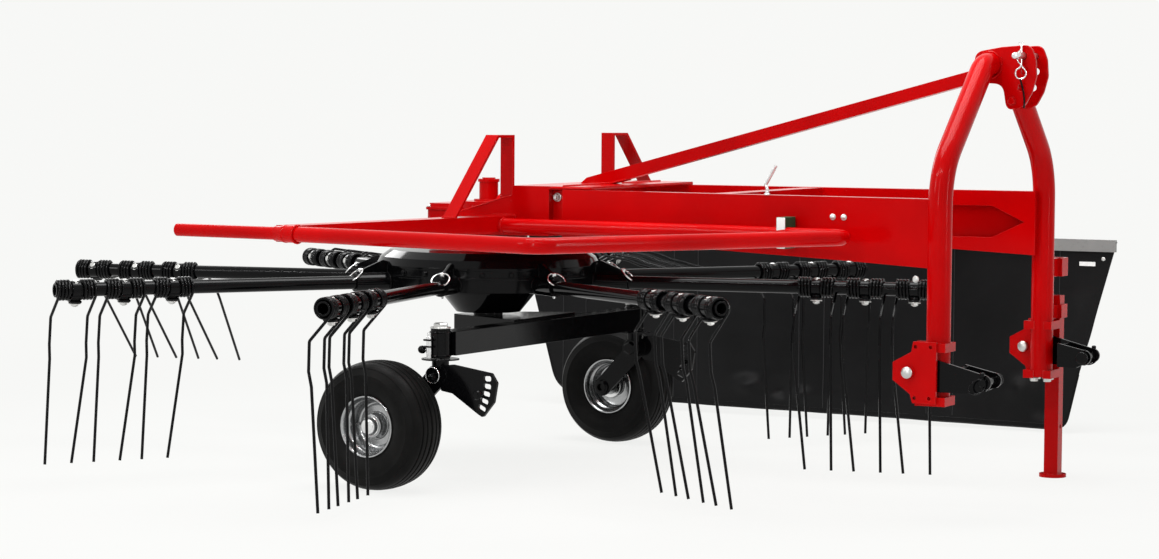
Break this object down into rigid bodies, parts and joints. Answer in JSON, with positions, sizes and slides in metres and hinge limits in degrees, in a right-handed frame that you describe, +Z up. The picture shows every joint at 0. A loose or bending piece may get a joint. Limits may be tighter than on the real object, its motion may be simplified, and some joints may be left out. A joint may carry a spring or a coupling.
{
  "type": "rotary hay rake",
  "caption": "Tractor-mounted single-rotor rotary hay rake with radial tine arms, caster wheels, side guard and swath curtain.",
  "frame": {"origin": "on the ground under the middle of the machine's overall box", "axes": "+X is the direction of travel, towards the tractor; +Y is the machine's left; +Z is up"},
  "size_m": [3.1901, 3.0745, 1.2662],
  "materials": {
    "red_paint": "gloss",
    "black_paint": "gloss",
    "zinc": "satin",
    "tyre_rubber": "matte",
    "curtain_sheet": "satin"
  },
  "bodies": {
    "frame": {"right_headstock_leg": "red_paint", "left_headstock_leg": "red_paint", "top_link_bracket": "red_paint", "right_hitch_bracket": "red_paint", "left_hitch_bracket": "red_paint", "right_boom_member": "red_paint", "left_boom_member": "red_paint", "gearbox_console": "red_paint", "gearbox": "red_paint", "height_spindle": "red_paint", "boom_brace": "red_paint", "boom_cross_plate": "red_paint", "right_side_arm": "red_paint", "left_side_arm": "red_paint", "right_tine_rack": "red_paint", "left_tine_rack": "red_paint", "side_guard_loop": "red_paint", "guard_extension": "red_paint", "curtain_sleeve": "red_paint", "stand_guides": "red_paint", "axle_beam": "black_paint", "rotor_post": "black_paint", "top_link_pin": "zinc"},
    "rotor": {"rotor_hub": "black_paint", "tine_arm_1": "black_paint", "tine_arm_2": "black_paint", "tine_arm_3": "black_paint", "tine_arm_4": "black_paint", "tine_arm_5": "black_paint", "tine_arm_6": "black_paint", "tine_arm_7": "black_paint", "tine_arm_8": "black_paint", "spring_tines_1": "black_paint", "spring_tines_2": "black_paint", "spring_tines_3": "black_paint", "spring_tines_4": "black_paint", "spring_tines_5": "black_paint", "spring_tines_6": "black_paint", "spring_tines_7": "black_paint", "spring_tines_8": "black_paint"},
    "input_shaft": {"input_shaft": "zinc"},
    "right_caster": {"right_caster": "black_paint"},
    "left_caster": {"left_caster": "black_paint"},
    "right_wheel": {"right_rim": "zinc", "right_tyre": "tyre_rubber"},
    "left_wheel": {"left_rim": "zinc", "left_tyre": "tyre_rubber"},
    "parking_stand": {"parking_stand": "red_paint"},
    "curtain": {"curtain_carrier": "red_paint", "curtain_rail": "zinc", "swath_curtain": "curtain_sheet"},
    "right_link": {"right_link_bracket": "black_paint"},
    "left_link": {"left_link_bracket": "black_paint"}
  },
  "joints": [
    {"name": "rotor_spin", "type": "hinge", "parent": "frame", "child": "rotor", "pos_m": [-0.1735, -0.1252, 0.562], "axis": [0, 0, 1], "continuous": true},
    {"name": "input_shaft_spin", "type": "hinge", "parent": "frame", "child": "input_shaft", "pos_m": [0.2265, -0.1252, 0.776], "axis": [1, 0, 0], "continuous": true},
    {"name": "right_caster_swivel", "type": "hinge", "parent": "frame", "child": "right_caster", "pos_m": [-0.00533, -0.72243, 0.336], "axis": [0, 0, 1], "range_deg": [-40, 40]},
    {"name": "left_caster_swivel", "type": "hinge", "parent": "frame", "child": "left_caster", "pos_m": [0.04202, 0.45662, 0.336], "axis": [0, 0, 1], "range_deg": [-40, 40]},
    {"name": "right_wheel_spin", "type": "hinge", "parent": "right_caster", "child": "right_wheel", "pos_m": [-0.14594, -0.82657, 0.185], "axis": [0.0872, 0.9962, 0], "continuous": true},
    {"name": "left_wheel_spin", "type": "hinge", "parent": "left_caster", "child": "left_wheel", "pos_m": [-0.07837, 0.5836, 0.185], "axis": [0.0872, 0.9962, 0], "continuous": true},
    {"name": "parking_stand_slide", "type": "slide", "parent": "frame", "child": "parking_stand", "axis": [0, 0, 1], "range_m": [0, 0.28]},
    {"name": "curtain_slide", "type": "slide", "parent": "frame", "child": "curtain", "axis": [0, 1, 0], "range_m": [0, 0.45]},
    {"name": "right_link_float", "type": "hinge", "parent": "frame", "child": "right_link", "pos_m": [1.3715, -0.5712, 0.391], "axis": [0, -1, 0], "range_deg": [0, 8]},
    {"name": "left_link_float", "type": "hinge", "parent": "frame", "child": "left_link", "pos_m": [1.3715, 0.3208, 0.391], "axis": [0, -1, 0], "range_deg": [0, 8]}
  ],
  "couplings": [
    {"joint": "input_shaft_spin", "follows": "rotor_spin", "ratio": 7.2727}
  ]
}
